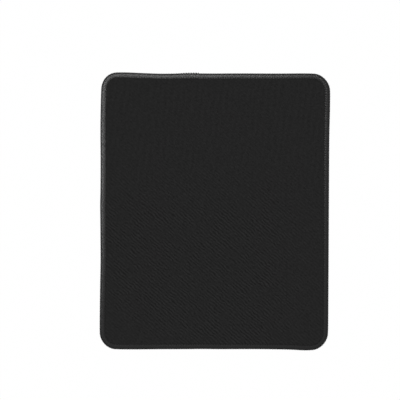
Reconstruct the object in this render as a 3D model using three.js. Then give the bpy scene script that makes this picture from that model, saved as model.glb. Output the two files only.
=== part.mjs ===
// A cloth mouse pad with an overlocked edge: a woven face laminated to a foamed rubber base,
// trimmed to a rounded rectangle and sewn round the edge with a needle thread and two looper threads.
// Millimetres. The origin lies on the desk under the middle of the pad, +X across it, +Y along it, +Z up.
import * as THREE from "three";

// Outline, measured over the stitching
const PAD_WIDTH = 240;
const PAD_LENGTH = 290;
const CORNER_RADIUS = 17;
const CORNER_FACETS = 5; // flats round each corner

// Layers in the open field, from the desk up
const BASE_THICKNESS = 2.4;
const FILM_THICKNESS = 0.1;
const CLOTH_THICKNESS = 0.5;

// Edge of the layers, which the stitches squeeze into a round nose
const CUT_INSET = 0.9; // from the outside of the stitching to the trimmed edge of the layers
const CREST_INSET = 2.2; // where the face starts to roll over
const CREST_DROP = 0.1; // how far the face has sunk there
const BASE_EDGE_THICKNESS = 0.25; // what is left of the base at the trimmed edge
const EDGE_LIFT = 0.75; // height of the base's underside at the trimmed edge

// Overlock seam
const SEAM_WIDTH = 5.9; // from the outside to the inner ends of the looper threads
const SEAM_MARGIN = 1.1; // flat field kept clear of the stitches
const STITCH_LENGTH = 2.65;
const SEAM_START_X = -42; // where the sewing starts on the rear edge
const LAP_STITCHES = 9; // stitches sewn over the start of the seam
const LAP_CLIMB_STITCHES = 2; // stitches in which the seam climbs onto its own start

// Threads: width along the pad's face and height off it
const LOOPER_WIDTH = 0.95;
const LOOPER_HEIGHT = 0.55;
const LOOP_END_WIDTH = 0.7; // where a loop turns under the needle thread
const LOOP_END_HEIGHT = 0.15;
const EDGE_LOOP_WIDTH = 0.75; // where a loop turns round the edge
const EDGE_LOOP_HEIGHT = 0.45;
const UNDER_LOOP_HEIGHT = 0.25;
const NEEDLE_THREAD_WIDTH = 0.6;
const NEEDLE_THREAD_HEIGHT = 0.3;
const NEEDLE_LINE_SETBACK = 0.3; // from the loop ends out to the needle thread
const THREAD_CLEARANCE = 0.06;

// Heights that follow from the layers
const filmBottom = BASE_THICKNESS;
const clothBottom = filmBottom + FILM_THICKNESS;
const clothTop = clothBottom + CLOTH_THICKNESS;
const edgeFilmBottom = EDGE_LIFT + BASE_EDGE_THICKNESS;
const edgeClothBottom = edgeFilmBottom + FILM_THICKNESS;
const edgeClothTop = edgeClothBottom + CLOTH_THICKNESS;
const fieldInset = SEAM_WIDTH + SEAM_MARGIN;
// The base is drawn up under the seam, so that the lower stitches stay off the desk.
const reliefHeight = UNDER_LOOP_HEIGHT + 2 * THREAD_CLEARANCE;

const material = (color, roughness) => new THREE.MeshStandardMaterial({ color, roughness, metalness: 0 });
const clothFinish = material(0x242424, 0.95);
const filmFinish = material(0x8c8a84, 0.5);
const rubberFinish = material(0x1b1b1b, 0.9);
const threadFinish = material(0x2c2c2c, 0.6);

// A rounded rectangle this far inside the outline, clockwise from above, starting at the seam's start.
function outlineAt(inset) {
  const x = PAD_WIDTH / 2 - inset;
  const y = PAD_LENGTH / 2 - inset;
  const r = CORNER_RADIUS - inset;
  const quarter = Math.PI / 2;
  const path = new THREE.Path();
  path.moveTo(SEAM_START_X, y);
  path.lineTo(x - r, y);
  path.absarc(x - r, y - r, r, quarter, 0, true);
  path.lineTo(x, r - y);
  path.absarc(x - r, r - y, r, 0, -quarter, true);
  path.lineTo(r - x, -y);
  path.absarc(r - x, r - y, r, -quarter, -2 * quarter, true);
  path.lineTo(-x, y - r);
  path.absarc(r - x, y - r, r, 2 * quarter, quarter, true);
  path.lineTo(SEAM_START_X, y);
  return path;
}

// One outline as a closed ring of points at one height: the points of its corners, which the sides join.
function ringAt({ inset, z }) {
  const corners = outlineAt(inset).curves.filter((curve) => curve.isEllipseCurve);
  const points = corners.flatMap((corner) => corner.getPoints(CORNER_FACETS));
  return points.map((p) => new THREE.Vector3(p.x, p.y, z));
}

// A closed geometry from a list of corner points and triangles of indices.
function solidFrom(points, triangles) {
  const geometry = new THREE.BufferGeometry().setFromPoints(points);
  geometry.setIndex(triangles.flat());
  geometry.computeVertexNormals();
  return geometry;
}

// One layer of the pad: rings lofted from its underside, round its edge, to its top, with both ends closed.
function layerGeometry(stations) {
  const rings = stations.map(ringAt);
  const count = rings[0].length;
  const triangles = [];
  for (let ring = 0; ring + 1 < rings.length; ring++) {
    for (let i = 0; i < count; i++) {
      const a = ring * count + i;
      const b = ring * count + ((i + 1) % count);
      triangles.push([a, a + count, b], [b, a + count, b + count]);
    }
  }
  const face = THREE.ShapeUtils.triangulateShape(
    rings[0].map((p) => new THREE.Vector2(p.x, p.y)),
    [],
  );
  const top = (rings.length - 1) * count;
  // The rings run clockwise, and the triangulation turns its faces up.
  face.forEach(([a, b, c]) => triangles.push([a, c, b], [top + a, top + b, top + c]));
  return solidFrom(rings.flat(), triangles);
}

// Rings of one face between two layers, from the open field out to the trimmed edge.
const faceRings = (fieldZ, edgeZ) => [
  { inset: fieldInset, z: fieldZ },
  { inset: CREST_INSET, z: fieldZ - CREST_DROP },
  { inset: CUT_INSET, z: edgeZ },
];
const baseUnderside = [
  { inset: fieldInset, z: 0 },
  { inset: SEAM_WIDTH, z: reliefHeight },
  { inset: CUT_INSET, z: EDGE_LIFT },
];
const filmUnderside = faceRings(filmBottom, edgeFilmBottom);
const clothUnderside = faceRings(clothBottom, edgeClothBottom);
const clothFace = faceRings(clothTop, edgeClothTop);
const between = (lower, upper) => layerGeometry([...lower, ...upper.slice().reverse()]);

// The seam is laid out along the line halfway across it, where its stitches have their true length.
const seamLineInset = SEAM_WIDTH / 2;
const seamLine = outlineAt(seamLineInset);
const seamLength = seamLine.getLength();
const stitchCount = Math.round(seamLength / STITCH_LENGTH);
const stitchPitch = seamLength / stitchCount;

// The place on the seam line after a number of stitches, and the level direction out of the pad there.
function seamAt(stitches) {
  const share = (((stitches / stitchCount) % 1) + 1) % 1;
  const foot = seamLine.getPoint(share);
  const coreX = PAD_WIDTH / 2 - CORNER_RADIUS;
  const coreY = PAD_LENGTH / 2 - CORNER_RADIUS;
  const core = new THREE.Vector2(
    THREE.MathUtils.clamp(foot.x, -coreX, coreX),
    THREE.MathUtils.clamp(foot.y, -coreY, coreY),
  );
  return { foot, out: foot.clone().sub(core).normalize() };
}

// A point of the seam's cross-section, given as an inset and a height, placed after a number of stitches.
function placed(stitches, inset, z) {
  const { foot, out } = seamAt(stitches);
  const at = foot.addScaledVector(out, seamLineInset - inset);
  return new THREE.Vector3(at.x, at.y, z);
}

// A direction of the cross-section, given as its outward and upward parts, turned to its place on the seam.
function turned(stitches, [outward, upward]) {
  const { out } = seamAt(stitches);
  return new THREE.Vector3(out.x * outward, out.y * outward, upward).normalize();
}

// A thread of triangular section along a list of stops.
// Each stop has a point, a direction off the pad, a width and a height.
function threadGeometry(stops) {
  const points = [];
  const triangles = [];
  const last = stops.length - 1;
  stops.forEach(({ point, off, width, height }, i) => {
    const before = stops[Math.max(i - 1, 0)].point;
    const after = stops[Math.min(i + 1, last)].point;
    const along = after.clone().sub(before);
    const side = along.cross(off).normalize();
    points.push(
      point.clone().addScaledVector(side, width / 2),
      point.clone().addScaledVector(side, -width / 2),
      point.clone().addScaledVector(off, height),
    );
    if (i === last) return;
    for (let corner = 0; corner < 3; corner++) {
      const a = 3 * i + corner;
      const b = 3 * i + ((corner + 1) % 3);
      triangles.push([a, b, a + 3], [b, b + 3, a + 3]);
    }
  });
  triangles.push([2, 1, 0], [3 * last, 3 * last + 1, 3 * last + 2]);
  return solidFrom(points, triangles);
}

// How far the seam has climbed onto its own start: 0 on the first layer and 1 on the lap.
const lapShare = (stitches) =>
  THREE.MathUtils.clamp((stitches - stitchCount) / LAP_CLIMB_STITCHES + 1, 0, 1);

// The rolled part of the face falls from the crest to the trimmed edge, and the edge loops follow its slope.
const rollRun = CREST_INSET - CUT_INSET;
const rollFall = clothTop - CREST_DROP - edgeClothTop;
const rollLength = Math.hypot(rollRun, rollFall);
const rollOff = [rollFall / rollLength, rollRun / rollLength];
const crestOff = [rollOff[0], rollOff[1] + 1];
const crestMitre = Math.hypot(...crestOff) / (rollOff[1] + 1);
// The edge loop reaches the outside of the pad with its ridge or its lower corner, whichever is further out.
const edgeLoopReach = Math.max(EDGE_LOOP_HEIGHT * rollOff[0], (EDGE_LOOP_WIDTH / 2) * rollOff[1]);
const edgeLoopInset = edgeLoopReach + THREAD_CLEARANCE * rollOff[0];
const edgeLoopZ = edgeClothTop - ((CUT_INSET - edgeLoopInset) * rollFall) / rollRun;

// Height of the needle thread over the loop ends that it holds down.
const loopRise =
  ((LOOPER_HEIGHT - LOOP_END_HEIGHT) * (NEEDLE_LINE_SETBACK + NEEDLE_THREAD_WIDTH / 2)) /
  (SEAM_WIDTH - CREST_INSET);
const needleSeat = LOOP_END_HEIGHT + loopRise + 2 * THREAD_CLEARANCE;
const endLapStep = needleSeat + NEEDLE_THREAD_HEIGHT;
const crestLapStep = LOOPER_HEIGHT + THREAD_CLEARANCE;

// The upper looper thread: each loop runs from the edge over the crest to the needle line and back.
function upperLooperStops() {
  const faceZ = clothTop - (CREST_DROP * SEAM_MARGIN) / (fieldInset - CREST_INSET);
  const loopEnd = {
    inset: SEAM_WIDTH, z: faceZ, off: [0, 1], mitre: 1,
    lapStep: endLapStep, width: LOOP_END_WIDTH, height: LOOP_END_HEIGHT,
  };
  const crest = {
    inset: CREST_INSET, z: clothTop - CREST_DROP, off: crestOff, mitre: crestMitre,
    lapStep: crestLapStep, width: LOOPER_WIDTH, height: LOOPER_HEIGHT,
  };
  const edgeLoop = {
    inset: edgeLoopInset, z: edgeLoopZ, off: rollOff, mitre: 1,
    lapStep: crestLapStep, width: EDGE_LOOP_WIDTH, height: EDGE_LOOP_HEIGHT,
  };
  const cycle = [edgeLoop, crest, loopEnd, crest];
  const stops = [];
  for (let i = 0; i <= cycle.length * (stitchCount + LAP_STITCHES); i++) {
    const stitches = i / cycle.length;
    const { inset, z, off, mitre, lapStep, width, height } = cycle[i % cycle.length];
    const direction = turned(stitches, off);
    const lift = (THREAD_CLEARANCE + lapShare(stitches) * lapStep) * mitre;
    const point = placed(stitches, inset, z).addScaledVector(direction, lift);
    stops.push({ point, off: direction, width, height });
  }
  return stops;
}

// The lower looper thread: the same loops under the base, half a stitch behind, up in its relief.
function lowerLooperStops() {
  const run = SEAM_WIDTH - CUT_INSET;
  const rise = EDGE_LIFT - reliefHeight;
  const slope = Math.hypot(run, rise);
  const off = [rise / slope, -run / slope];
  const edgeInset = ((EDGE_LOOP_WIDTH / 2) * run + THREAD_CLEARANCE * rise) / slope;
  const edgeZ = EDGE_LIFT + ((CUT_INSET - edgeInset) * rise) / run;
  const loopEnd = { inset: SEAM_WIDTH, z: reliefHeight, width: LOOP_END_WIDTH };
  const edgeLoop = { inset: edgeInset, z: edgeZ, width: EDGE_LOOP_WIDTH };
  const cycle = [loopEnd, edgeLoop];
  const stops = [];
  for (let i = 0; i < cycle.length * stitchCount; i++) {
    const stitches = i / cycle.length;
    const { inset, z, width } = cycle[i % cycle.length];
    const direction = turned(stitches, off);
    const point = placed(stitches, inset, z).addScaledVector(direction, THREAD_CLEARANCE);
    stops.push({ point, off: direction, width, height: UNDER_LOOP_HEIGHT });
  }
  return stops;
}

// The needle thread: one line round the pad, over the inner ends of the upper loops.
function needleThreadStops() {
  const inset = SEAM_WIDTH - NEEDLE_LINE_SETBACK;
  const faceZ = clothTop - (CREST_DROP * (fieldInset - inset)) / (fieldInset - CREST_INSET);
  const lapStart = stitchCount - LAP_CLIMB_STITCHES;
  const lapEnd = stitchCount + LAP_STITCHES;
  const ends = seamLine.getCurveLengths();
  const bends = seamLine.curves.flatMap((curve, i) => {
    if (!curve.isEllipseCurve) return [];
    const stepLength = (ends[i] - ends[i - 1]) / CORNER_FACETS;
    return Array.from({ length: CORNER_FACETS + 1 }, (_, k) => (ends[i - 1] + k * stepLength) / stitchPitch);
  });
  return [0, ...bends, lapStart, stitchCount, lapEnd].map((stitches) => {
    const lift = needleSeat + lapShare(stitches) * (endLapStep + THREAD_CLEARANCE);
    const point = placed(stitches, inset, faceZ + lift);
    return { point, off: turned(stitches, [0, 1]), width: NEEDLE_THREAD_WIDTH, height: NEEDLE_THREAD_HEIGHT };
  });
}

function piece(name, geometry, finish) {
  const mesh = new THREE.Mesh(geometry, finish);
  mesh.name = name;
  return mesh;
}

const layers = new THREE.Group();
layers.add(
  piece("rubber_base", between(baseUnderside, filmUnderside), rubberFinish),
  piece("adhesive_film", between(filmUnderside, clothUnderside), filmFinish),
  piece("cloth_face", between(clothUnderside, clothFace), clothFinish),
);

const overlockSeam = new THREE.Group();
overlockSeam.add(
  piece("upper_looper_thread", threadGeometry(upperLooperStops()), threadFinish),
  piece("lower_looper_thread", threadGeometry(lowerLooperStops()), threadFinish),
  piece("needle_thread", threadGeometry(needleThreadStops()), threadFinish),
);

const mousePad = new THREE.Group();
mousePad.name = "mouse_pad";
mousePad.add(layers, overlockSeam);

export default mousePad;
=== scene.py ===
"""A cloth mouse pad with an overlocked edge, seen from straight above on a white table.

The pad is a laminate of woven cloth, hot-melt film and foamed rubber. Its trimmed edge is sewn over with a needle
thread and two looper threads. All lengths are in millimetres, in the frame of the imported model, and become metres
where a mesh, a lamp or the camera is made.
"""

import logging
import math
from dataclasses import dataclass, field
from enum import Enum

import bpy
import numpy as np
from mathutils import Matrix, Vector


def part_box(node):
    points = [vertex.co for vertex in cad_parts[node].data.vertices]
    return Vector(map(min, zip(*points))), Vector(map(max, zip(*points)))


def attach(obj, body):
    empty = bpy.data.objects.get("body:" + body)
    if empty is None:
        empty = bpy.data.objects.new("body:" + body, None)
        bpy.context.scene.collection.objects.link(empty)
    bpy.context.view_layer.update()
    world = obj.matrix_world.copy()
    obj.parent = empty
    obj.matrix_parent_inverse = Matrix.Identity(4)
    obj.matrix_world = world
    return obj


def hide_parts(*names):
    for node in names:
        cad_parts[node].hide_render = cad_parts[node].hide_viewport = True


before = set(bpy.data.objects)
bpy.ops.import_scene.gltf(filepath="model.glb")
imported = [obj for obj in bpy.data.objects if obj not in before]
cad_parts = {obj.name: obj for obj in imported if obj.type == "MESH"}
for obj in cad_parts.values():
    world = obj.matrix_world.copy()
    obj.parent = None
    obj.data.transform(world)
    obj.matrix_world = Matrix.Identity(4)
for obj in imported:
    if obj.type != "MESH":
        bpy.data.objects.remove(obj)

MM = 0.001
ONLY_BODY = "root"
THREAD_UV = "thread"
WHITE = (1.0, 1.0, 1.0, 1.0)

# Angles in degrees over which an edge stays sharp.
LAYER_SMOOTH = 35.0
THREAD_SMOOTH = 85.0
TABLE_SMOOTH = 30.0

# Yarns in a repeat of the twill, and how many of them the warp covers.
TWILL_REPEAT = 4.0
TWILL_FLOAT = 2.0

# How far a noise bends a rib, in radians, and the ranges of noise that are stretched from 0 to 1.
RIB_BEND = 7.0
RIB_PATCHES = (0.3, 0.6)
FIBRE_MIDDLE = (0.3, 0.7)

Pair = tuple[np.ndarray, np.ndarray]
Piece = bpy.types.Object
Socket = bpy.types.NodeSocket
log = logging.getLogger("mouse_pad")


class Side(Enum):
    """The side of the pad that a looper thread covers."""

    ABOVE = 1
    BELOW = -1


def node_box(node: str) -> Pair:
    """Gives the lowest and highest corner of a node of the frame."""
    low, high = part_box(node)
    return np.array(low) / MM, np.array(high) / MM


def ease(value: np.ndarray, start: float, stop: float) -> np.ndarray:
    """Eases from 0 at the start to 1 at the stop: three times the square less twice the cube of the way between."""
    way = np.clip((value - start) / (stop - start), 0.0, 1.0)
    return way * way * (3.0 - 2.0 * way)


@dataclass(frozen=True)
class SeamPull:
    """A place on the edge where the sewing drew the pad in, or let it out.

    Attributes:
        x: place across the pad.
        y: place along the pad.
        out: how far the edge moves outwards there.
        reach: distance in which the shift fades.
    """

    x: float
    y: float
    out: float
    reach: float


@dataclass(frozen=True)
class PadOutline:
    """The pad's rounded rectangle over the stitching, walked clockwise from the start of the seam.

    Attributes:
        half_width: half the pad's width.
        half_length: half the pad's length.
        corner_radius: radius of the outer corners.
        seam_start: x of the seam's first stitch, on the rear edge.
        seam_inset: inset of the line along which distances are counted.
        pull_depth: inset by which the pulls of the seam have faded.
        field_inset: inset from which the outline only shrinks towards the middle.
        pulls: where the sewing drew the edge in or let it out.
    """

    half_width: float
    half_length: float
    corner_radius: float = 17.0
    seam_start: float = -42.0
    seam_inset: float = 2.95
    pull_depth: float = 14.0
    field_inset: float = 11.0
    pulls: tuple[SeamPull, ...] = (
        SeamPull(x=-95.0, y=145.0, out=0.45, reach=13.0),
        SeamPull(x=-55.0, y=145.0, out=-0.75, reach=22.0),
        SeamPull(x=-5.0, y=145.0, out=-0.3, reach=20.0),
        SeamPull(x=98.0, y=145.0, out=0.35, reach=22.0),
        SeamPull(x=115.0, y=140.0, out=-0.62, reach=13.0),
        SeamPull(x=120.0, y=126.0, out=0.3, reach=8.0),
        SeamPull(x=120.0, y=112.0, out=0.62, reach=24.0),
        SeamPull(x=120.0, y=-127.0, out=0.25, reach=8.0),
        SeamPull(x=116.0, y=-137.0, out=-0.85, reach=14.0),
        SeamPull(x=97.0, y=-145.0, out=0.7, reach=12.0),
        SeamPull(x=45.0, y=-145.0, out=-0.5, reach=40.0),
        SeamPull(x=-13.0, y=-145.0, out=-0.25, reach=16.0),
        SeamPull(x=-92.0, y=-145.0, out=0.5, reach=32.0),
        SeamPull(x=-117.0, y=-139.0, out=-0.5, reach=11.0),
        SeamPull(x=-120.0, y=-52.0, out=-0.45, reach=28.0),
        SeamPull(x=-120.0, y=5.0, out=0.25, reach=12.0),
        SeamPull(x=-120.0, y=88.0, out=0.42, reach=26.0),
        SeamPull(x=-119.0, y=134.0, out=-0.5, reach=9.0),
        SeamPull(x=-115.0, y=140.0, out=0.22, reach=9.0),
    )

    def knots(self) -> tuple[np.ndarray, np.ndarray, np.ndarray]:
        """Lists the ends of the sides and corners, in order.

        Each point of the outline is a point of the core rectangle, whose corners are the centres of the arcs, plus
        a radius in the outward heading. Both change evenly along the seam line between these ends.

        Returns:
            The distance along the seam line, the point of the core and the heading at each end.
        """
        x = self.half_width - self.corner_radius
        y = self.half_length - self.corner_radius
        start = self.seam_start
        core = np.array(
            [(start, y), (x, y), (x, y), (x, -y), (x, -y), (-x, -y), (-x, -y), (-x, y), (-x, y), (start, y)]
        )
        heading = np.radians([90.0, 90.0, 0.0, 0.0, -90.0, -90.0, -180.0, -180.0, -270.0, -270.0])
        sides = np.hypot(*np.diff(core, axis=0).T)
        corners = (self.corner_radius - self.seam_inset) * np.abs(np.diff(heading))
        return np.concatenate([[0.0], np.cumsum(sides + corners)]), core, heading

    @property
    def seam_length(self) -> float:
        """Length of the seam line once round the pad."""
        return float(self.knots()[0][-1])

    def outward(self, along: np.ndarray) -> np.ndarray:
        """Gives the level direction out of the pad.

        Args:
            along: distances along the seam line.

        Returns:
            Unit vectors, with a last axis of three.
        """
        distance, _, heading = self.knots()
        angle = np.interp(np.mod(along, distance[-1]), distance, heading)
        return np.stack([np.cos(angle), np.sin(angle), np.zeros_like(angle)], axis=-1)

    def pulled(self, edge: np.ndarray) -> np.ndarray:
        """Adds up how far the pulls of the seam move the edge out.

        Each pull is a bell curve of the distance from its place.

        Args:
            edge: points of the outline, with a last axis of three.

        Returns:
            The shift at each point.
        """
        shift = np.zeros(edge.shape[:-1])
        for pull in self.pulls:
            apart = np.hypot(edge[..., 0] - pull.x, edge[..., 1] - pull.y)
            shift += pull.out * np.exp(-((apart / pull.reach) ** 2))
        return shift

    def place(self, along: np.ndarray, inset: np.ndarray, height: np.ndarray) -> np.ndarray:
        """Places points of the pad by their distance along the seam, inset from the outline and height.

        A point is the core point plus the outward heading times what is left of the corner radius. Inside the field
        the whole outline shrinks towards the middle of the pad instead.

        Args:
            along: distances along the seam line.
            inset: insets from the outline.
            height: heights over the table.

        Returns:
            The points, with a last axis of three.
        """
        along, inset, height = np.broadcast_arrays(along, inset, height)
        distance, core, _ = self.knots()
        held = np.mod(along, distance[-1])
        centre = np.stack([np.interp(held, distance, core[:, axis]) for axis in range(2)], axis=-1)
        centre = np.concatenate([centre, np.zeros_like(inset)[..., None]], axis=-1)
        out = self.outward(along)
        shift = self.pulled(centre + out * self.corner_radius) * np.exp(-((inset / self.pull_depth) ** 2))
        radius = self.corner_radius - np.minimum(inset, self.field_inset) + shift
        shrink = 1.0 - np.maximum(inset - self.field_inset, 0.0) / (self.half_width - self.field_inset)
        points = (centre + out * radius[..., None]) * shrink[..., None]
        points[..., 2] = height
        return points


@dataclass(frozen=True)
class EdgeProfile:
    """Section of one face of the sewn edge: flat from the needle line to the shoulder, then a quarter of an ellipse.

    Attributes:
        face: height of the flat stretch.
        nose: height at which the ellipse stands upright.
        needle_inset: inset of the needle line.
        shoulder_inset: inset where the ellipse begins.
        nose_inset: inset of the upright end of the ellipse.
        evenness: how far steps along the section are even in inset, and otherwise even in angle.
    """

    face: float
    nose: float
    needle_inset: float = 5.6
    shoulder_inset: float = 5.0
    nose_inset: float = 0.42
    evenness: float = 0.65

    def angle(self, share: np.ndarray) -> np.ndarray:
        """Gives the angle round the ellipse, a quarter turn on the flat and nothing at the nose.

        Its cosine is a blend of the share of the way round and of the sine of that share of a quarter turn.

        Args:
            share: how far along the section.

        Returns:
            The angles, in radians.
        """
        flat = (self.needle_inset - self.shoulder_inset) / (self.needle_inset - self.nose_inset)
        way = np.clip((share - flat) / (1.0 - flat), 0.0, 1.0)
        return np.arccos(self.evenness * way + (1.0 - self.evenness) * np.sin(0.5 * np.pi * way))

    def point(self, share: np.ndarray) -> Pair:
        """Walks the section from the needle line to the nose.

        On the flat the inset falls evenly. Round the nose the inset is the shoulder's less the run of the ellipse
        times the cosine, and the height is the nose's plus its rise times the sine.

        Args:
            share: how far along the section, from 0 at the needle line to 1 at the nose.

        Returns:
            The insets and the heights.
        """
        theta = self.angle(share)
        reach = self.needle_inset - self.nose_inset
        flat_inset = np.maximum(self.needle_inset - share * reach, self.shoulder_inset)
        inset = flat_inset - (self.shoulder_inset - self.nose_inset) * np.cos(theta)
        return inset, self.nose + (self.face - self.nose) * np.sin(theta)

    def off(self, share: np.ndarray) -> Pair:
        """Gives the direction off the face.

        The normal of an ellipse is the cosine over its run and the sine over its rise.

        Args:
            share: how far along the section.

        Returns:
            The outward and upward parts of unit vectors.
        """
        theta = self.angle(share)
        outward = np.cos(theta) / (self.shoulder_inset - self.nose_inset)
        upward = np.sin(theta) / (self.face - self.nose)
        length = np.hypot(outward, upward)
        return outward / length, upward / length


def make_piece(name: str, points: np.ndarray, faces: list[list[int]], smooth_angle: float) -> Piece:
    """Makes a mesh object from points in millimetres.

    Args:
        name: name of the piece.
        points: corner points.
        faces: corner numbers of each face, anticlockwise from outside.
        smooth_angle: angle in degrees over which an edge stays sharp.

    Returns:
        The object, linked to the scene.
    """
    mesh = bpy.data.meshes.new(name)
    mesh.from_pydata((points * MM).tolist(), [], faces)
    mesh.shade_smooth()
    mesh.set_sharp_from_angle(angle=math.radians(smooth_angle))
    piece = bpy.data.objects.new(name, mesh)
    bpy.context.scene.collection.objects.link(piece)
    return piece


def ring_faces(count: int, around: int) -> Pair:
    """Joins closed rings of points, each to the next.

    Args:
        count: number of rings.
        around: points in each ring.

    Returns:
        The point numbers, with a row for each ring, and the corners of the faces between the rings.
    """
    number = np.arange(count * around).reshape(count, around)
    ahead = np.roll(number, -1, axis=1)
    return number, np.stack([number[:-1], ahead[:-1], ahead[1:], number[1:]], axis=-1).reshape(-1, 4)


def layer_piece(name: str, rows: np.ndarray) -> Piece:
    """Closes rings of points into one layer of the pad.

    Args:
        name: name of the piece.
        rows: rings from the middle of the top, over the edge, to the middle of the underside.

    Returns:
        The closed solid, with a fan of triangles in the middle of each face.
    """
    ring_count, around = rows.shape[:2]
    number, quads = ring_faces(ring_count, around)
    ahead = np.roll(number, -1, axis=1)
    top = number.size
    under = top + 1
    fan_top = np.stack([np.full(around, top), ahead[0], number[0]], axis=-1)
    fan_under = np.stack([number[-1], ahead[-1], np.full(around, under)], axis=-1)
    middles = np.stack([rows[0].mean(axis=0), rows[-1].mean(axis=0)])
    points = np.concatenate([rows.reshape(-1, 3), middles])
    return make_piece(name, points, quads.tolist() + fan_top.tolist() + fan_under.tolist(), LAYER_SMOOTH)


def thread_piece(
    name: str, centre: np.ndarray, off: np.ndarray, width: np.ndarray, height: np.ndarray, sides: int
) -> Piece:
    """Carries an oval section along a thread's path.

    Each ring is the centre plus the sideways direction times half the width and the cosine, plus the direction off
    the pad times half the height and the sine. The UV map has the length in millimetres and the turn round the thread.

    Args:
        name: name of the piece.
        centre: points of the path.
        off: directions off the pad.
        width: width of the thread along the pad at each point.
        height: height of the thread off the pad at each point.
        sides: corners of the section.

    Returns:
        The closed tube.
    """
    tangent = np.gradient(centre, axis=0)
    tangent /= np.linalg.norm(tangent, axis=1, keepdims=True)
    side = np.cross(tangent, off)
    side /= np.linalg.norm(side, axis=1, keepdims=True)
    lift = np.cross(side, tangent)
    turn = 2.0 * np.pi * (np.arange(sides) / sides + 0.25)
    across = np.cos(turn)[None, :, None] * (side * width[:, None] / 2.0)[:, None, :]
    upright = np.sin(turn)[None, :, None] * (lift * height[:, None] / 2.0)[:, None, :]
    rings = centre[:, None, :] + across + upright

    number, quads = ring_faces(len(centre), sides)
    outward = quads[:, [0, 3, 2, 1]]
    ends = [number[0].tolist(), number[-1][::-1].tolist()]
    piece = make_piece(name, rings.reshape(-1, 3), outward.tolist() + ends, THREAD_SMOOTH)

    length = np.concatenate([[0.0], np.cumsum(np.linalg.norm(np.diff(centre, axis=0), axis=1))])
    start, stop = np.meshgrid(length[:-1], np.arange(sides) / sides, indexing="ij")
    later = np.broadcast_to(length[1:, None], start.shape)
    beyond = stop + 1.0 / sides
    quad_uv = np.stack([start, stop, later, stop, later, beyond, start, beyond], axis=-1).reshape(-1, 2)
    end_uv = np.concatenate([np.tile([at, 0.0], (sides, 1)) for at in (length[0], length[-1])])
    layer = piece.data.uv_layers.new(name=THREAD_UV)
    layer.data.foreach_set("uv", np.concatenate([quad_uv, end_uv]).astype(np.float32).ravel())
    return piece


def dress(piece: Piece, material: bpy.types.Material, node: str) -> None:
    """Finishes a piece and ties it to the frame.

    Args:
        piece: the piece.
        material: its material.
        node: node of the frame that it stands for.
    """
    piece.data.materials.append(material)
    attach(piece, ONLY_BODY)
    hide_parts(node)


class NodeBoard:
    """A node tree with short calls to place and wire its nodes."""

    def __init__(self, tree: bpy.types.NodeTree) -> None:
        """Keeps the tree."""
        self.tree = tree

    def add(self, kind: str, settings: dict | None = None, inputs: dict | None = None) -> bpy.types.Node:
        """Adds a node.

        Args:
            kind: identifier of the node's type.
            settings: attributes of the node.
            inputs: a value, or the socket to wire, for each input by name or number.

        Returns:
            The node.
        """
        node = self.tree.nodes.new(kind)
        for name, value in (settings or {}).items():
            setattr(node, name, value)
        for key, value in (inputs or {}).items():
            if isinstance(value, Socket):
                self.tree.links.new(value, node.inputs[key])
            else:
                node.inputs[key].default_value = value
        return node

    def math(self, operation: str, *values: float | Socket) -> Socket:
        """Adds a Math node, whose operands are numbers or sockets, and gives its result."""
        return self.add("ShaderNodeMath", {"operation": operation}, dict(enumerate(values))).outputs[0]

    def blend(self, *parts: tuple[Socket, float]) -> Socket:
        """Adds up values, each times its share.

        Args:
            parts: each value's socket and its share.

        Returns:
            The sum's socket.
        """
        total = 0.0
        for value, share in parts:
            total = self.math("MULTIPLY_ADD", value, share, total)
        return total

    def remap(self, value: Socket, low: float, high: float, start: float = 0.0, stop: float = 1.0) -> Socket:
        """Stretches a value's range from start to stop onto the range from low to high, and holds the ends beyond."""
        inputs = {"Value": value, "From Min": start, "From Max": stop, "To Min": low, "To Max": high}
        return self.add("ShaderNodeMapRange", inputs=inputs).outputs[0]

    def shade(self, value: Socket, low: float, high: float) -> Socket:
        """Turns a value from 0 to 1 into a neutral colour, from a low to a high linear grey."""
        grey = self.remap(value, low, high)
        return self.add("ShaderNodeCombineColor", inputs={"Red": grey, "Green": grey, "Blue": grey}).outputs[0]

    def group(self, tree: bpy.types.NodeTree, inputs: dict) -> bpy.types.Node:
        """Places a node group, with values or sockets for its inputs by name."""
        return self.add("ShaderNodeGroup", {"node_tree": tree}, inputs)

    def millimetres(self) -> Socket:
        """Gives the piece's own coordinates in millimetres."""
        place = self.add("ShaderNodeTexCoord").outputs["Object"]
        return self.add("ShaderNodeVectorMath", {"operation": "SCALE"}, {0: place, "Scale": 1.0 / MM}).outputs[0]


def new_group(
    name: str, vector: str, values: list[str], outputs: list[str]
) -> tuple[NodeBoard, bpy.types.Node, bpy.types.Node]:
    """Starts a shader node group.

    Args:
        name: name of the group.
        vector: name of its vector input.
        values: names of its value inputs.
        outputs: names of its outputs, which are all values.

    Returns:
        A board for its tree, its input node and its output node.
    """
    tree = bpy.data.node_groups.new(name, "ShaderNodeTree")
    tree.interface.new_socket(name=vector, in_out="INPUT", socket_type="NodeSocketVector")
    for side, labels in (("INPUT", values), ("OUTPUT", outputs)):
        for label in labels:
            tree.interface.new_socket(name=label, in_out=side, socket_type="NodeSocketFloat")
    board = NodeBoard(tree)
    return board, board.add("NodeGroupInput"), board.add("NodeGroupOutput")


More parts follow.
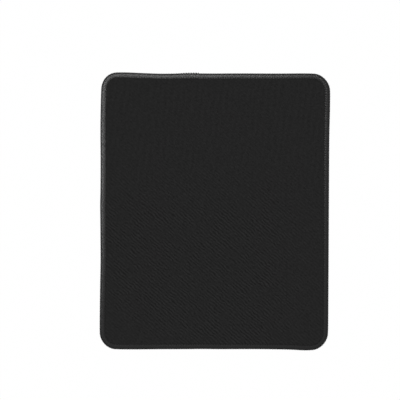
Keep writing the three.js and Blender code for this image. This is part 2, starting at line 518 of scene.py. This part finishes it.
def weave_group() -> bpy.types.NodeTree:
    """Makes the group for a two-up, two-down twill of round yarns.

    A yarn's height is the sine across it. The weft shows where the yarn numbers, added up and divided by four, leave
    two or three, and the warp elsewhere, so the floats climb in diagonal steps.

    Returns:
        The group, with the height of the cloth from 0 to 1.
    """
    board, source, sink = new_group("twill_weave", "Place", ["Yarn Pitch"], ["Height"])
    place = board.add("ShaderNodeSeparateXYZ", inputs={0: source.outputs["Place"]})
    yarns = [board.math("DIVIDE", place.outputs[axis], source.outputs["Yarn Pitch"]) for axis in "XY"]
    numbers = board.math("ADD", *[board.math("FLOOR", yarn) for yarn in yarns])
    warp = board.math("LESS_THAN", board.math("FLOORED_MODULO", numbers, TWILL_REPEAT), TWILL_FLOAT)
    waves = [board.math("SINE", board.math("MULTIPLY", yarn, math.pi)) for yarn in yarns]
    warp_height, weft_height = [board.math("ABSOLUTE", wave) for wave in waves]
    warp_part = board.math("MULTIPLY", warp, warp_height)
    weft_part = board.math("MULTIPLY", board.math("SUBTRACT", 1.0, warp), weft_height)
    board.tree.links.new(board.math("ADD", warp_part, weft_part), sink.inputs["Height"])
    return board.tree


def rib_group() -> bpy.types.NodeTree:
    """Makes the group for the faint diagonal ribs of the cloth.

    A rib is a sine of the distance across the ribs. A noise fades it in and out, and the green part of that noise
    bends its course.

    Returns:
        The group, with the rib from 0 to 1 about a half.
    """
    values = ["Rib Pitch", "Rib Turn", "Patch Size", "Strength"]
    board, source, sink = new_group("diagonal_rib", "Place", values, ["Rib"])
    place = source.outputs["Place"]
    turned = board.add("ShaderNodeVectorRotate", {"rotation_type": "Z_AXIS"},
                       {"Vector": place, "Angle": source.outputs["Rib Turn"]})
    across = board.add("ShaderNodeSeparateXYZ", inputs={0: turned.outputs[0]}).outputs["X"]
    even = board.math("MULTIPLY", board.math("DIVIDE", across, source.outputs["Rib Pitch"]), 2.0 * math.pi)
    scale = board.math("DIVIDE", 1.0, source.outputs["Patch Size"])
    noise = board.add("ShaderNodeTexNoise", inputs={"Vector": place, "Scale": scale, "Detail": 1.0})
    bend = board.add("ShaderNodeSeparateColor", inputs={0: noise.outputs["Color"]}).outputs["Green"]
    phase = board.math("MULTIPLY_ADD", bend, RIB_BEND, even)
    patches = board.remap(noise.outputs[0], 0.0, 1.0, *RIB_PATCHES)
    strength = board.math("MULTIPLY", patches, source.outputs["Strength"])
    rib = board.math("MULTIPLY", board.math("SINE", phase), strength)
    board.tree.links.new(board.math("MULTIPLY_ADD", rib, 0.5, 0.5), sink.inputs["Rib"])
    return board.tree


def fibre_group() -> bpy.types.NodeTree:
    """Makes the group for the uneven take-up of dye and the loose ends of fibres.

    It is a fine noise blended with a broad one, half and half, with its middle range stretched.

    Returns:
        The group, with a shade from 0 to 1.
    """
    sizes = ["Grain", "Broad"]
    board, source, sink = new_group("fibre_shade", "Place", sizes, ["Shade"])
    parts = []
    for label in sizes:
        scale = board.math("DIVIDE", 1.0, source.outputs[label])
        inputs = {"Vector": source.outputs["Place"], "Scale": scale, "Detail": 2.0}
        parts.append((board.add("ShaderNodeTexNoise", inputs=inputs).outputs[0], 0.5))
    board.tree.links.new(board.remap(board.blend(*parts), 0.0, 1.0, *FIBRE_MIDDLE), sink.inputs["Shade"])
    return board.tree


def twist_group() -> bpy.types.NodeTree:
    """Makes the group for the twist of a thread.

    The plies are a sine of the turn round the thread times their number, plus the length over the pitch of the twist.
    The filaments are the same with their own number.

    Returns:
        The group, with the height of the plies and filaments from 0 to 1.
    """
    values = ["Plies", "Twist Pitch", "Filaments"]
    board, source, sink = new_group("thread_twist", "Length And Turn", values, ["Ply", "Filament"])
    at = board.add("ShaderNodeSeparateXYZ", inputs={0: source.outputs["Length And Turn"]})
    run = board.math("DIVIDE", at.outputs["X"], source.outputs["Twist Pitch"])
    for label, count in (("Ply", "Plies"), ("Filament", "Filaments")):
        turns = board.math("MULTIPLY_ADD", at.outputs["Y"], source.outputs[count], run)
        wave = board.math("SINE", board.math("MULTIPLY", turns, 2.0 * math.pi))
        board.tree.links.new(board.math("MULTIPLY_ADD", wave, 0.5, 0.5), sink.inputs[label])
    return board.tree


@dataclass(frozen=True)
class Effects:
    """The node groups that the finishes share.

    Attributes:
        weave: height of a twill.
        rib: faint diagonal ribs.
        fibre: uneven shade.
        twist: plies and filaments of a thread.
    """

    weave: bpy.types.NodeTree = field(default_factory=weave_group)
    rib: bpy.types.NodeTree = field(default_factory=rib_group)
    fibre: bpy.types.NodeTree = field(default_factory=fibre_group)
    twist: bpy.types.NodeTree = field(default_factory=twist_group)


def new_material(name: str) -> tuple[bpy.types.Material, NodeBoard, bpy.types.Node]:
    """Starts a material.

    Args:
        name: name of the material.

    Returns:
        The material, a board for its nodes and its Principled BSDF.
    """
    material = bpy.data.materials.new(name)
    material.use_nodes = True
    return material, NodeBoard(material.node_tree), material.node_tree.nodes["Principled BSDF"]


@dataclass(frozen=True)
class Finish:
    """What every finish has: two greys, a roughness, a reflection and a relief.

    Attributes:
        name: name of the material.
        dark: linear grey at a tone of 0.
        light: linear grey at a tone of 1.
        smooth: roughness where the surface is smoothest.
        rough: roughness where it is roughest.
        specular: reflection off the surface.
        depth: depth of the relief.
        strength: strength of the relief.
        grain: size of the fine part of the uneven shade.
        broad: size of its broad part.
    """

    name: str
    dark: float
    light: float
    smooth: float
    rough: float
    specular: float
    depth: float
    strength: float
    grain: float
    broad: float

    def pattern(self, board: NodeBoard, effects: Effects, shade: Socket) -> tuple[Socket, Socket, Socket]:
        """Gives what the colour, roughness and relief follow: the uneven shade, where a finish has nothing else."""
        return shade, shade, shade

    def material(self, effects: Effects) -> bpy.types.Material:
        """Makes the material.

        Args:
            effects: the shared node groups.

        Returns:
            The material.
        """
        material, board, shader = new_material(self.name)
        inputs = {"Place": board.millimetres(), "Grain": self.grain, "Broad": self.broad}
        shade = board.group(effects.fibre, inputs).outputs["Shade"]
        tone, gloss, height = self.pattern(board, effects, shade)
        inputs = {"Height": height, "Distance": self.depth * MM, "Strength": self.strength}
        wires = {
            "Base Color": board.shade(tone, self.dark, self.light),
            "Roughness": board.remap(gloss, self.smooth, self.rough),
            "Normal": board.add("ShaderNodeBump", inputs=inputs).outputs["Normal"],
        }
        for label, socket in wires.items():
            board.tree.links.new(socket, shader.inputs[label])
        shader.inputs["Specular IOR Level"].default_value = self.specular
        return material


@dataclass(frozen=True)
class RibFade:
    """A side of the cloth towards which its ribs fade.

    Attributes:
        toward: direction to that side, across and along the pad.
        start: distance from the middle at which the fading starts.
        stop: distance at which it ends.
        low: strength that is left.
    """

    toward: tuple[float, float]
    start: float
    stop: float
    low: float

    def strength(self, board: NodeBoard, place: Socket) -> Socket:
        """Gives the strength of the ribs, which falls along the distance towards the side."""
        dot = board.add("ShaderNodeVectorMath", {"operation": "DOT_PRODUCT"}, {0: place, 1: (*self.toward, 0.0)})
        return board.remap(dot.outputs["Value"], 1.0, self.low, self.start, self.stop)


@dataclass(frozen=True)
class ClothFinish(Finish):
    """Black woven polyester: a tight twill with faint ribs, matt.

    Attributes:
        yarn_pitch: distance between yarns.
        rib_pitch: distance between the faint ribs.
        rib_turn: turn from across the pad to across the ribs, in degrees.
        rib_patch: size of the patches in which the ribs show.
        bar_pitch: distance between the fainter bars that run to the rear.
        bar_turn: turn from across the pad to across the bars, in degrees.
        bar_patch: size of the patches in which the bars show.
        rear_fade: how the ribs fade to the rear, where the bars take over.
        right_fade: how the ribs fade to the right.
        corner_fade: how the ribs fade to the front left corner.
        rib_share: share of the ribs in the tone.
        bar_share: share of the bars in the tone.
        shade_share: share of the uneven shade in the tone.
        weave_painted_shade_share: share of the weave in the tone, as painted shade between the yarns.
    """

    name: str = "black_cloth"
    dark: float = 0.0036
    light: float = 0.0298
    smooth: float = 0.85
    rough: float = 1.0
    specular: float = 0.12
    depth: float = 0.06
    strength: float = 0.4
    grain: float = 1.5
    broad: float = 2.4
    yarn_pitch: float = 0.5
    rib_pitch: float = 2.95
    rib_turn: float = 49.0
    rib_patch: float = 6.0
    bar_pitch: float = 6.35
    bar_turn: float = -8.0
    bar_patch: float = 18.0
    rear_fade: RibFade = RibFade(toward=(0.0, 1.0), start=-10.0, stop=60.0, low=0.2)
    right_fade: RibFade = RibFade(toward=(1.0, 0.0), start=55.0, stop=95.0, low=0.45)
    corner_fade: RibFade = RibFade(toward=(-0.44, -0.9), start=122.0, stop=152.0, low=0.3)
    rib_share: float = 0.45
    bar_share: float = 0.09
    shade_share: float = 0.43
    weave_painted_shade_share: float = 0.03

    def pattern(self, board: NodeBoard, effects: Effects, shade: Socket) -> tuple[Socket, Socket, Socket]:
        """Adds up the ribs, the bars, the uneven shade and the weave, which is also the relief and paints shade
        between the yarns.

        Args:
            board: board of the material.
            effects: the shared node groups.
            shade: the uneven shade.

        Returns:
            What the colour, the roughness and the relief follow.
        """
        place = board.millimetres()
        weave = board.group(effects.weave, {"Place": place, "Yarn Pitch": self.yarn_pitch}).outputs["Height"]
        fades = (self.rear_fade, self.right_fade, self.corner_fade)
        rear, right, corner = [fade.strength(board, place) for fade in fades]
        rib_strength = board.math("MULTIPLY", rear, board.math("MULTIPLY", right, corner))
        bar_strength = board.math("SUBTRACT", 1.0, rear)
        courses = (
            (self.rib_pitch, self.rib_turn, self.rib_patch, rib_strength),
            (self.bar_pitch, self.bar_turn, self.bar_patch, bar_strength),
        )
        rib, bar = [
            board.group(effects.rib, {"Place": place, "Rib Pitch": pitch, "Rib Turn": math.radians(-turn),
                                      "Patch Size": patch, "Strength": strength}).outputs["Rib"]
            for pitch, turn, patch, strength in courses
        ]
        # The weave's share of the tone paints shade between the yarns.
        tone = board.blend((rib, self.rib_share), (bar, self.bar_share), (shade, self.shade_share),
                           (weave, self.weave_painted_shade_share))
        return tone, shade, weave


@dataclass(frozen=True)
class ThreadFinish(Finish):
    """Black textured polyester thread with a soft sheen.

    Attributes:
        plies: strands twisted together.
        twist_pitch: length of one turn of the twist.
        filaments: fine filaments round the thread.
        ply_share: share of the plies in the relief, whose rest is the filaments.
        painted_shade_share: painted shade in the hollows: the relief's share in the tone, whose rest is the uneven
            shade.
    """

    dark: float = 0.004
    light: float = 0.012
    smooth: float = 0.35
    rough: float = 0.45
    specular: float = 0.21
    depth: float = 0.08
    strength: float = 0.5
    grain: float = 0.5
    broad: float = 1.5
    plies: float = 2.0
    twist_pitch: float = 1.6
    filaments: float = 9.0
    ply_share: float = 0.7
    painted_shade_share: float = 0.5

    def pattern(self, board: NodeBoard, effects: Effects, shade: Socket) -> tuple[Socket, Socket, Socket]:
        """Makes the relief of plies and filaments; the colour blends it, as painted shade in the grooves, with the
        uneven shade.

        Args:
            board: board of the material.
            effects: the shared node groups.
            shade: the uneven shade.

        Returns:
            What the colour, the roughness and the relief follow.
        """
        strand = board.add("ShaderNodeUVMap", {"uv_map": THREAD_UV}).outputs["UV"]
        inputs = {"Length And Turn": strand, "Plies": self.plies, "Twist Pitch": self.twist_pitch,
                  "Filaments": self.filaments}
        twist = board.group(effects.twist, inputs).outputs
        relief = board.blend((twist["Ply"], self.ply_share), (twist["Filament"], 1.0 - self.ply_share))
        # The relief in the tone paints shade into the grooves between the plies and the filaments.
        tone = board.blend((relief, self.painted_shade_share), (shade, 1.0 - self.painted_shade_share))
        return tone, shade, relief


@dataclass(frozen=True)
class RubberFinish(Finish):
    """Black foamed rubber with a grip texture like woven cloth pressed into it.

    Attributes:
        print_pitch: distance between the ridges of the texture.
        pore_density: pores of the foam in a millimetre.
        print_share: share of the texture in the relief, whose rest is the pores.
        painted_shade_share: painted shade in the hollows: the relief's share in the tone, whose rest is the uneven
            shade.
    """

    name: str = "black_foam_rubber"
    dark: float = 0.008
    light: float = 0.017
    smooth: float = 0.75
    rough: float = 0.9
    specular: float = 0.3
    depth: float = 0.25
    strength: float = 0.6
    grain: float = 0.5
    broad: float = 25.0
    print_pitch: float = 1.1
    pore_density: float = 2.2
    print_share: float = 0.75
    painted_shade_share: float = 0.5

    def pattern(self, board: NodeBoard, effects: Effects, shade: Socket) -> tuple[Socket, Socket, Socket]:
        """Makes the relief of the texture and the pores; the colour blends it, as painted shade in the hollows, with
        the uneven shade.

        Args:
            board: board of the material.
            effects: the shared node groups.
            shade: the uneven shade.

        Returns:
            What the colour, the roughness and the relief follow.
        """
        place = board.millimetres()
        grip = board.group(effects.weave, {"Place": place, "Yarn Pitch": self.print_pitch}).outputs["Height"]
        pore = board.add("ShaderNodeTexVoronoi", inputs={"Vector": place, "Scale": self.pore_density})
        relief = board.blend((grip, self.print_share), (pore.outputs["Distance"], 1.0 - self.print_share))
        # The relief in the tone paints shade into the hollows of the texture and into the pores.
        tone = board.blend((relief, self.painted_shade_share), (shade, 1.0 - self.painted_shade_share))
        return tone, relief, relief


@dataclass(frozen=True)
class FilmFinish(Finish):
    """Clear hot-melt film, clouded by the foam it has soaked into, so that it has the uneven shade alone."""

    name: str = "hot_melt_film"
    dark: float = 0.10
    light: float = 0.30
    smooth: float = 0.35
    rough: float = 0.6
    specular: float = 0.5
    depth: float = 0.03
    strength: float = 0.4
    grain: float = 0.4
    broad: float = 6.0


@dataclass
class PadLayers:
    """The laminate: foamed rubber base, hot-melt film and woven cloth, squeezed together at the sewn edge.

    Attributes:
        outline: the pad's outline.
        effects: the shared node groups.
        around: points round each ring.
        edge_rings: rings over the sewn edge.
        field_rings: rings in the open field.
        base_nose: height of the base's underside at the trimmed edge.
        film_nose: height of the film's underside there.
        cloth_nose: height of the cloth's underside there.
        face_nose: height of the cloth's face there.
        relief: height to which the base is drawn up under the seam.
        field_margin: from the needle line to the open field.
        groove_depth: depth to which the needle thread draws the cloth down.
        groove_width: half the width of that groove.
        groove_reach: where the rows over the groove start and stop, in half widths from its middle.
        groove_rows: rows of points over the groove.
        field_share: share of the way to the middle of the pad at which the rings of the open field start.
    """

    outline: PadOutline
    effects: Effects
    around: int = 1200
    edge_rings: int = 9
    field_rings: int = 12
    base_nose: float = 0.72
    film_nose: float = 0.82
    cloth_nose: float = 0.86
    face_nose: float = 1.25
    relief: float = 0.36
    field_margin: float = 1.4
    groove_depth: float = 0.06
    groove_width: float = 0.5
    groove_reach: tuple[float, float] = (1.6, -1.0)
    groove_rows: int = 9
    field_share: float = 0.95

    def __post_init__(self) -> None:
        """Takes the heights of the layers from the frame."""
        self.base_bottom = node_box("rubber_base")[0][2]
        self.film_bottom = node_box("rubber_base")[1][2]
        self.cloth_bottom = node_box("adhesive_film")[1][2]
        self.face = node_box("cloth_face")[1][2]
        self.under_edge = EdgeProfile(face=self.base_bottom + self.relief, nose=self.base_nose)
        self.film_edge = EdgeProfile(face=self.film_bottom, nose=self.film_nose)
        self.cloth_edge = EdgeProfile(face=self.cloth_bottom, nose=self.cloth_nose)
        self.face_edge = EdgeProfile(face=self.face, nose=self.face_nose)

    def section(self, edge: EdgeProfile, field_height: float) -> Pair:
        """Lists one face's insets and heights, from near the middle of the pad to the trimmed edge.

        In the field the inset falls with the square of an even share, so that the rings crowd towards the seam.

        Args:
            edge: section of the face at the sewn edge.
            field_height: height of the face in the open field.

        Returns:
            The insets and the heights.
        """
        start = edge.needle_inset + self.field_margin
        share = np.linspace(self.field_share, 0.0, self.field_rings)
        field_inset = start + (self.outline.half_width - start) * share**2
        edge_inset, edge_height = edge.point(np.linspace(0.0, 1.0, self.edge_rings))
        heights = np.concatenate([np.full(self.field_rings, field_height), edge_height])
        return np.concatenate([field_inset, edge_inset]), heights

    def layer(self, name: str, top: Pair, under: Pair) -> Piece:
        """Lofts one layer between two faces.

        Args:
            name: name of the piece.
            top: insets and heights of its upper face.
            under: insets and heights of its lower face.

        Returns:
            The piece.
        """
        inset = np.concatenate([top[0], under[0][::-1]])
        height = np.concatenate([top[1], under[1][::-1]])
        along = np.arange(self.around) * self.outline.seam_length / self.around
        return layer_piece(name, self.outline.place(along[None, :], inset[:, None], height[:, None]))

    def grooved_face(self) -> Pair:
        """Gives the cloth's face with a groove, a bell curve of the inset, just inside the needle line.

        Returns:
            The insets and the heights.
        """
        inset, height = self.section(self.face_edge, self.face)
        groove_inset = self.face_edge.needle_inset + self.groove_width
        rows = groove_inset + self.groove_width * np.linspace(*self.groove_reach, self.groove_rows)
        keep_field = inset > rows[0]
        keep_edge = inset < rows[-1]
        inset = np.concatenate([inset[keep_field], rows, inset[keep_edge]])
        height = np.concatenate([height[keep_field], np.full(len(rows), self.face), height[keep_edge]])
        return inset, height - self.groove_depth * np.exp(-(((inset - groove_inset) / self.groove_width) ** 2))

    def build(self) -> list[Piece]:
        """Builds the three layers, finishes them and ties them to the frame.

        Returns:
            The base, the film and the cloth.
        """
        film_under = self.section(self.film_edge, self.film_bottom)
        cloth_under = self.section(self.cloth_edge, self.cloth_bottom)
        base = self.layer("foam_rubber_base", film_under, self.section(self.under_edge, self.base_bottom))
        film = self.layer("hot_melt_film", cloth_under, film_under)
        cloth = self.layer("woven_face", self.grooved_face(), cloth_under)
        dressed = (
            (base, RubberFinish(), "rubber_base", "rubber"),
            (film, FilmFinish(), "adhesive_film", "adhesive"),
            (cloth, ClothFinish(), "cloth_face", "cloth"),
        )
        for piece, finish, node, slot in dressed:
            dress(piece, finish.material(self.effects), node)
        return [base, film, cloth]


@dataclass
class OverlockSeam:
    """The three-thread overlock round the edge: two looper threads and the needle thread that holds them.

    Attributes:
        outline: the pad's outline.
        layers: the laminate that the threads lie on.
        effects: the shared node groups.
        stitch_length: length of a stitch along the seam line.
        lap_stitches: stitches sewn over the start of the seam.
        lap_climb: stitches in which the seam climbs onto its own start.
        lap_height: how far the lap stands off the first stitches.
        loop_steps: points of a looper thread in each stitch.
        needle_steps: points of the needle thread in each stitch.
        sides: corners of a thread's section.
        lean: slant of a loop's legs, from 0 for straight across the seam to 1 for an even zigzag.
        pairing: how far each leg of a loop is drawn towards the other, as a share of a stitch.
        looper_width: width of a looper thread on the crest, where the loops press against each other.
        looper_height: height of the upper looper thread on the crest.
        leg_over: how far the first leg of each upper loop lies over the other legs.
        swell_stop: share of the way to the edge by which a looper thread has swollen to its full width.
        tip_start: share of the way to the edge from which a looper thread narrows.
        tip_taper: share of its width lost at the edge.
        edge_start: share of the way to the edge from which the upper looper thread flattens.
        edge_taper: share of its height lost at the edge.
        under_height: height of the lower looper thread under the pad.
        knot_start: share of the way to the edge from which the lower looper thread thickens.
        knot_height: height of the lower looper thread on the edge.
        linger: how long a looper thread stays at the edge, as a power.
        pinch: share of the width and height left under the needle thread.
        needle_width: width of the needle thread.
        needle_height: height of the needle thread.
        needle_seat: height of the needle thread's middle over the face, where it crosses the loops.
        needle_dip: depth of its middle under the face at each needle hole.
        clearance: gap between threads and layers.
    """

    outline: PadOutline
    layers: PadLayers
    effects: Effects
    stitch_length: float = 2.58
    lap_stitches: int = 9
    lap_climb: float = 7.0
    lap_height: float = 0.7
    loop_steps: int = 14
    needle_steps: int = 8
    sides: int = 5
    lean: float = 0.25
    pairing: float = 0.035
    looper_width: float = 1.75
    looper_height: float = 0.62
    leg_over: float = 0.35
    swell_stop: float = 0.28
    tip_start: float = 0.4
    tip_taper: float = 0.55
    edge_start: float = 0.3
    edge_taper: float = 0.3
    under_height: float = 0.26
    knot_start: float = 0.6
    knot_height: float = 0.5
    linger: float = 1.75
    pinch: float = 0.45
    needle_width: float = 0.5
    needle_height: float = 0.32
    needle_seat: float = 0.4
    needle_dip: float = 0.25
    clearance: float = 0.015

    def __post_init__(self) -> None:
        """Fits a whole number of stitches to the seam, and finds how far a thread's flat side is from its middle."""
        self.stitch_count = round(self.outline.seam_length / self.stitch_length)
        self.pitch = self.outline.seam_length / self.stitch_count
        self.seat = math.cos(math.pi / self.sides)

    def lap_lift(self, stitches: np.ndarray) -> np.ndarray:
        """Gives how far the seam stands off its own start: nothing at first, easing up where the lap begins."""
        start = self.stitch_count - 1.0
        return self.lap_height * ease(stitches, start, start + self.lap_climb)

    def placed(
        self, along: np.ndarray, inset: np.ndarray, height: np.ndarray, off: Pair, lift: np.ndarray
    ) -> Pair:
        """Places points of a thread off the face that it lies on.

        Args:
            along: distances along the seam line.
            inset: insets of the face under the thread.
            height: heights of the face under the thread.
            off: outward and upward parts of the direction off the face.
            lift: distance of the thread's middle off the face.

        Returns:
            The points and the directions off the face.
        """
        direction = self.outline.outward(along) * off[0][..., None]
        direction[..., 2] = off[1]
        return self.outline.place(along, inset, height) + direction * lift[..., None], direction

    def looper(self, name: str, side: Side, edge: EdgeProfile, start: float, stop: float) -> Piece:
        """Builds a looper thread.

        The share of the way from the needle line to the nose is one less a power of half the cosine of each stitch
        plus a half, so the thread lingers at the edge. The distance along the seam has a sine of twice the stitch
        added, so the thread runs along the seam in its turns and across it on its legs, and a sine of the stitch,
        which draws the two legs of each loop together. On the upper side the square of that sine's positive half
        lifts the first leg of each loop over the others.

        Args:
            name: name of the piece.
            side: side of the pad that the thread covers.
            edge: section of the face that it lies on.
            start: stitches from the seam's start to the thread's start.
            stop: stitches from the seam's start to the thread's end.

        Returns:
            The piece.
        """
        stitches = np.linspace(start, stop, round((stop - start) * self.loop_steps) + 1)
        share = 1.0 - (0.5 + 0.5 * np.cos(2.0 * np.pi * stitches)) ** self.linger
        shifted = stitches if side is Side.ABOVE else stitches + 0.5
        straighten = (1.0 - self.lean) * np.sin(4.0 * np.pi * stitches) / (4.0 * np.pi)
        leg = np.sin(2.0 * np.pi * stitches)
        along = self.pitch * (shifted + straighten + self.pairing * leg)
        swell = self.pinch + (1.0 - self.pinch) * ease(share, 0.0, self.swell_stop)
        wide = self.looper_width * swell * (1.0 - self.tip_taper * ease(share, self.tip_start, 1.0))
        inset, level = edge.point(share)
        if side is Side.ABOVE:
            tall = self.looper_height * swell * (1.0 - self.edge_taper * ease(share, self.edge_start, 1.0))
            raised = self.lap_lift(stitches) + self.leg_over * np.maximum(leg, 0.0) ** 2
        else:
            knot = ease(share, self.knot_start, 1.0)
            tall = self.under_height + (self.knot_height - self.under_height) * knot
            raised = 0.0
        lift = self.clearance + self.seat * tall / 2.0 + raised
        centre, off = self.placed(along, inset, level, edge.off(share), lift)
        return thread_piece(name, centre, off, wide, tall, self.sides)

    def needle(self, name: str) -> Piece:
        """Builds the needle thread.

        Its height is one less the fourth power of a sine: over the loop ends at each stitch, down into a hole halfway.

        Args:
            name: name of the piece.

        Returns:
            The piece.
        """
        stop = self.stitch_count + self.lap_stitches
        stitches = np.linspace(0.0, stop, stop * self.needle_steps + 1)
        arch = 1.0 - np.sin(np.pi * stitches) ** 4
        edge = self.layers.face_edge
        lift = self.needle_seat * arch - self.needle_dip * (1.0 - arch) + self.lap_lift(stitches)
        flat = np.zeros_like(stitches)
        centre, off = self.placed(
            self.pitch * stitches, flat + edge.needle_inset, flat + edge.face, (flat, flat + 1.0), lift
        )
        width = flat + self.needle_width
        return thread_piece(name, centre, off, width, flat + self.needle_height, self.sides)

    def build(self) -> list[Piece]:
        """Builds the three threads, finishes them and ties them to the frame.

        Returns:
            The upper looper thread, the lower looper thread and the needle thread.
        """
        lap_end = self.stitch_count + self.lap_stitches + 0.5
        upper = self.looper("upper_looper", Side.ABOVE, self.layers.face_edge, 0.5, lap_end)
        lower = self.looper("lower_looper", Side.BELOW, self.layers.under_edge, 0.0, self.stitch_count - 0.5)
        needle = self.needle("needle_line")
        needle_finish = ThreadFinish(
            "needle_thread", dark=0.009, light=0.022, smooth=0.5, rough=0.6, specular=0.06, twist_pitch=1.1
        )
        dressed = (
            (upper, ThreadFinish("upper_looper_thread"), "upper_looper_thread"),
            (lower, ThreadFinish("lower_looper_thread", dark=0.008, light=0.02), "lower_looper_thread"),
            (needle, needle_finish, "needle_thread"),
        )
        for piece, finish, node in dressed:
            dress(piece, finish.material(self.effects), node)
        return [upper, lower, needle]


@dataclass(frozen=True)
class Lamp:
    """A soft lamp, flagged off from all but the threads of the seam.

    Attributes:
        name: name of the lamp.
        place: where it stands.
        aim: what it is aimed at.
        size: side of its square face.
        power: power in watts.
        spread: angle of its beam, in degrees.
    """

    name: str
    place: tuple[float, float, float]
    aim: tuple[float, float, float]
    size: float = 250.0
    power: float = 0.25
    spread: float = 34.0

    def build(self, threads: bpy.types.Collection) -> None:
        """Makes the lamp and turns it to its aim.

        Args:
            threads: the threads of the seam.
        """
        data = bpy.data.lights.new(self.name, "AREA")
        data.shape = "SQUARE"
        data.size = self.size * MM
        data.energy = self.power
        data.spread = math.radians(self.spread)
        lamp = bpy.data.objects.new(self.name, data)
        lamp.location = np.array(self.place) * MM
        direction = Vector(np.array(self.aim) - np.array(self.place))
        lamp.rotation_euler = direction.to_track_quat("-Z", "Y").to_euler()
        lamp.light_linking.receiver_collection = threads
        bpy.context.scene.collection.objects.link(lamp)


@dataclass(frozen=True)
class Studio:
    """A white table that turns up into a backdrop, soft lamps and a camera straight above.

    Attributes:
        view_width: width of the picture at the pad's face.
        view_centre: point of the pad in the middle of the picture.
        view_turn: turn of the camera, in degrees, which turns the pad the other way in the picture.
        lens: focal length.
        sensor: width of the sensor.
        table_radius: radius of the table.
        sweep_radius: radius of the turn from the table to the backdrop.
        sweep_steps: points of that turn.
        backdrop_height: height of the backdrop.
        table_around: points round the table.
        table_gap: how far the table lies under the pad.
        table_white: linear grey of the table.
        table_roughness: roughness of the table.
        table_glow: share of the table's picture that is plain white.
        glow_strength: strength of that white.
        sky: strength of the light straight above.
        horizon: strength of the light from the sides.
        lamps: the lamps.
    """

    view_width: float = 419.0
    view_centre: tuple[float, float] = (-15.41, 11.8)
    view_turn: float = 0.3
    lens: float = 85.0
    sensor: float = 36.0
    table_radius: float = 6000.0
    sweep_radius: float = 900.0
    sweep_steps: int = 9
    backdrop_height: float = 1800.0
    table_around: int = 96
    table_gap: float = 0.1
    table_white: float = 0.3
    table_roughness: float = 0.9
    table_glow: float = 0.9
    glow_strength: float = 1.08
    sky: float = 1.285
    horizon: float = 0.1
    lamps: tuple[Lamp, ...] = (
        Lamp("left_seam", place=(-450.0, 75.0, 470.0), aim=(-120.0, 75.0, 0.0)),
        Lamp("rear_seam", place=(-40.0, 405.0, 500.0), aim=(-40.0, 145.0, 0.0)),
    )

    def camera(self, face: float) -> None:
        """Hangs the camera over the pad.

        Args:
            face: height of the pad's face.
        """
        data = bpy.data.cameras.new("camera")
        data.lens = self.lens
        data.sensor_width = self.sensor
        camera = bpy.data.objects.new("camera", data)
        distance = self.view_width * self.lens / self.sensor
        camera.location = np.array([*self.view_centre, face + distance]) * MM
        camera.rotation_euler = (0.0, 0.0, math.radians(self.view_turn))
        bpy.context.scene.collection.objects.link(camera)
        bpy.context.scene.camera = camera

    @staticmethod
    def seen(board: NodeBoard) -> Socket:
        """Marks the rays by which the camera sees a surface, straight, mirrored or through glass.

        Args:
            board: board of the material or world.

        Returns:
            A socket that is 1 for those rays.
        """
        path = board.add("ShaderNodeLightPath").outputs
        mirrored = board.math("MAXIMUM", path["Is Glossy Ray"], path["Is Transmission Ray"])
        return board.math("MAXIMUM", path["Is Camera Ray"], mirrored)

    def table(self) -> None:
        """Lays the white table, which keeps a faint shadow of the pad.

        Its section, a level run, a quarter of a circle and an upright run, is carried round the middle.
        """
        turn = np.linspace(0.0, 0.5 * np.pi, self.sweep_steps)
        radius = self.table_radius - self.sweep_radius * (1.0 - np.sin(turn))
        height = self.sweep_radius * (1.0 - np.cos(turn))
        radius = np.append(radius, self.table_radius)
        height = np.append(height, self.backdrop_height) - self.table_gap
        round_angle = 2.0 * np.pi * np.arange(self.table_around) / self.table_around
        ring = np.stack([np.cos(round_angle), np.sin(round_angle), np.zeros_like(round_angle)], axis=-1)
        points = ring[None] * radius[:, None, None] + np.array([0.0, 0.0, 1.0]) * height[:, None, None]
        number, quads = ring_faces(*points.shape[:2])
        table = make_piece("table", points.reshape(-1, 3), [number[0].tolist()] + quads.tolist(), TABLE_SMOOTH)
        material, board, shader = new_material("white_table")
        shader.inputs["Base Color"].default_value = (self.table_white, self.table_white, self.table_white, 1.0)
        shader.inputs["Roughness"].default_value = self.table_roughness
        shader.inputs["Specular IOR Level"].default_value = 0.0
        white = board.add("ShaderNodeEmission", inputs={"Color": WHITE, "Strength": self.glow_strength})
        share = board.math("MULTIPLY", self.seen(board), self.table_glow)
        mix = board.add("ShaderNodeMixShader", inputs={0: share, 1: shader.outputs[0], 2: white.outputs[0]})
        board.tree.links.new(mix.outputs[0], board.tree.nodes["Material Output"].inputs["Surface"])
        table.data.materials.append(material)

    def world(self) -> None:
        """Lights the scene from all round, most from above."""
        world = bpy.data.worlds.new("studio")
        world.use_nodes = True
        board = NodeBoard(world.node_tree)
        direction = board.add("ShaderNodeTexCoord").outputs["Generated"]
        upward = board.add("ShaderNodeSeparateXYZ", inputs={0: direction}).outputs["Z"]
        strength = board.remap(upward, self.horizon, self.sky)
        background = world.node_tree.nodes["Background"]
        background.inputs["Color"].default_value = WHITE
        board.tree.links.new(strength, background.inputs["Strength"])
        bpy.context.scene.world = world

    def build(self, face: float, seam: list[Piece]) -> None:
        """Sets the studio up.

        Args:
            face: height of the pad's face.
            seam: the threads of the seam.
        """
        self.camera(face)
        self.table()
        self.world()
        threads = bpy.data.collections.new("seam_threads")
        for piece in seam:
            threads.objects.link(piece)
        for lamp in self.lamps:
            lamp.build(threads)
        bpy.context.scene.view_settings.view_transform = "Standard"


def main() -> None:
    """Builds the pad and its studio."""
    logging.basicConfig(level=logging.INFO, format="%(name)s: %(message)s")
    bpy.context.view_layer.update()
    low, high = node_box("lower_looper_thread")
    outline = PadOutline(half_width=(high - low)[0] / 2.0, half_length=(high - low)[1] / 2.0)
    effects = Effects()
    layers = PadLayers(outline, effects)
    seam = OverlockSeam(outline, layers, effects)
    threads = seam.build()
    for piece in [*layers.build(), *threads]:
        log.info("%s: %d faces", piece.name, len(piece.data.polygons))
    log.info("stitches: %d of %.3f mm", seam.stitch_count, seam.pitch)
    Studio().build(layers.face, threads)


if __name__ == "__main__":
    main()
